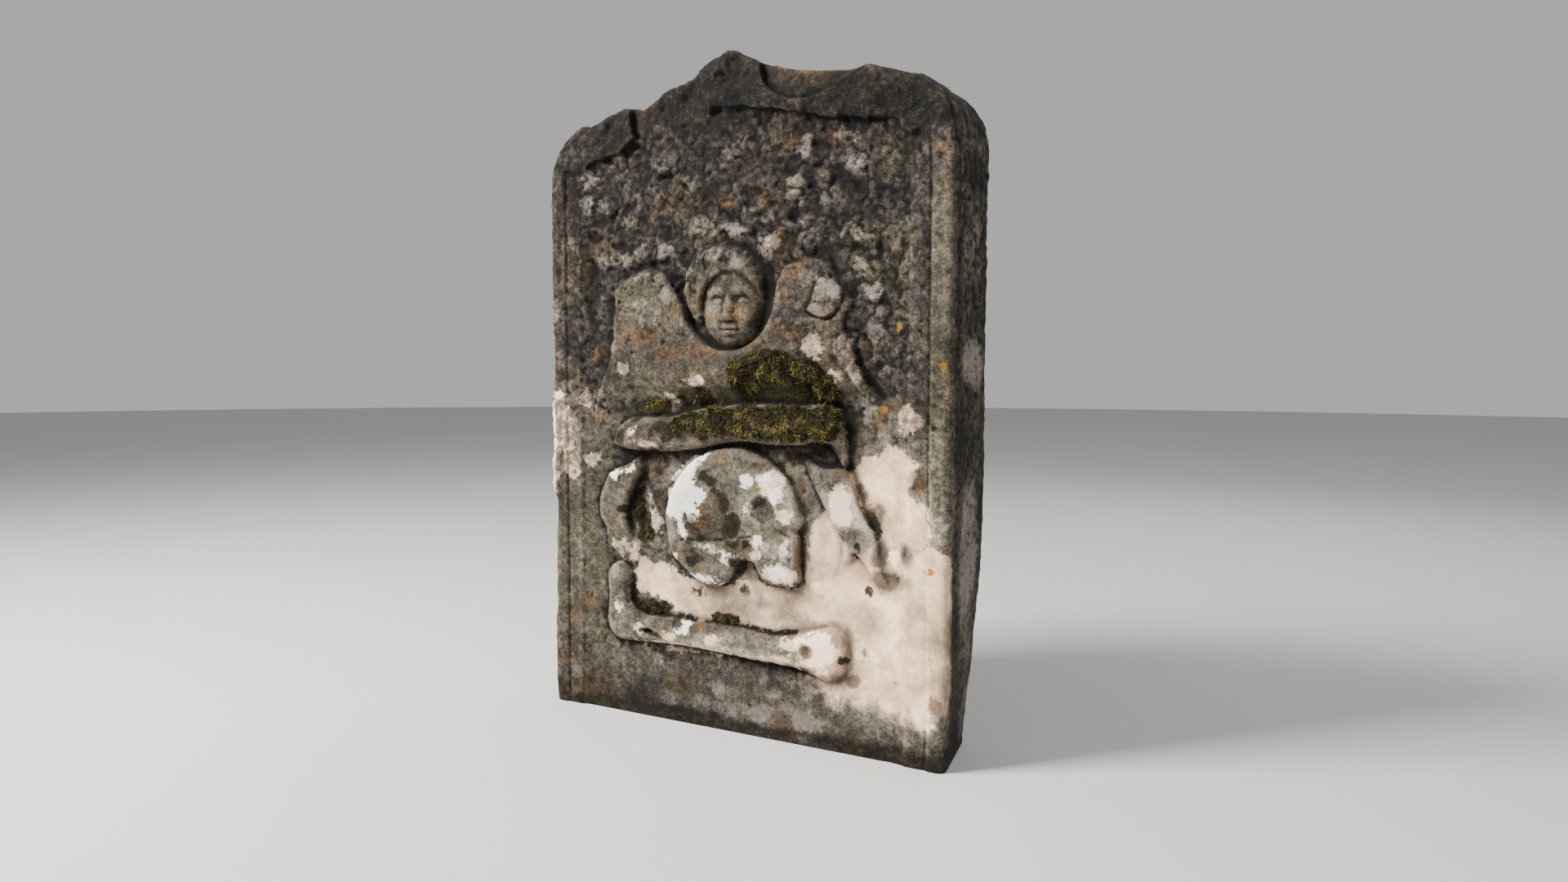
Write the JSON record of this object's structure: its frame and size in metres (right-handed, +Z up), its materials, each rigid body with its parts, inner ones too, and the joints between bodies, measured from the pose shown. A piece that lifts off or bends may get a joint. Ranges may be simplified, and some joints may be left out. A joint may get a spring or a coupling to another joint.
{
  "type": "headstone",
  "caption": "Upright carved churchyard slab with a winged head over a scroll, a skull in profile and a thigh bone, its top broken and its face weathered.",
  "frame": {"origin": "middle of the flat underside, where the stone is cut off at the ground", "axes": "+Z up, +Y from the carved face through the stone to its back, +X to the right of someone who looks at the carved face"},
  "size_m": [0.6047, 0.1298, 0.882],
  "materials": {
    "weathered_stone": "matt, weathered and lichen-covered sandstone",
    "moss": "matt, fibrous dark olive moss"
  },
  "bodies": {
    "root": {"headstone": "weathered_stone"}
  },
  "joints": []
}
